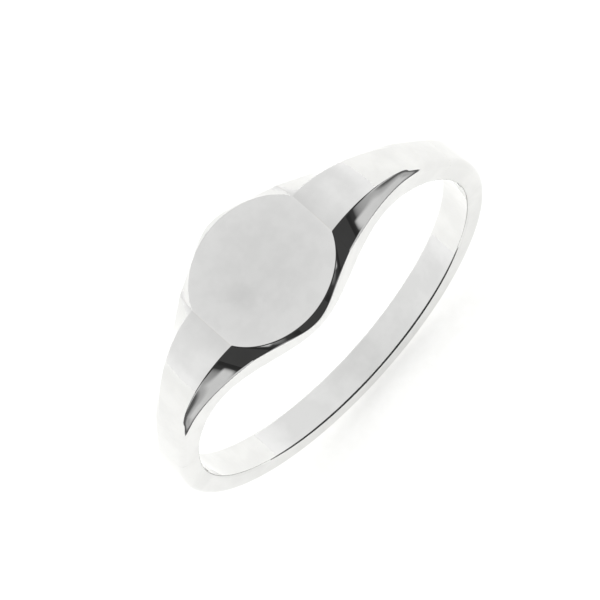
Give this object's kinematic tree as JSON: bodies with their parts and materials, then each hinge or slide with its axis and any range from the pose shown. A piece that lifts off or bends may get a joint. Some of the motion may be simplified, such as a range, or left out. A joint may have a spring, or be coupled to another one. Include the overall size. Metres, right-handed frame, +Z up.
{
  "type": "signet ring",
  "caption": "Plain oval signet ring: a flat unengraved table with notched necks, scooped shoulders and a slim tapering shank.",
  "frame": {"origin": "centre of the finger bore", "axes": "+Y along the finger bore, +Z up through the middle of the table, +X towards the right shoulder"},
  "size_m": [0.0186, 0.0068, 0.0192],
  "materials": {
    "silver": "mirror-polished sterling silver",
    "solder": "hard silver solder, polished flush with the ring"
  },
  "bodies": {
    "root": {"shank": "silver", "head_block": "silver", "table_plate": "silver", "right_shoulder": "silver", "left_shoulder": "silver", "table_solder": "solder", "right_neck_solder": "solder", "left_neck_solder": "solder", "right_shank_solder": "solder", "left_shank_solder": "solder"}
  },
  "joints": []
}
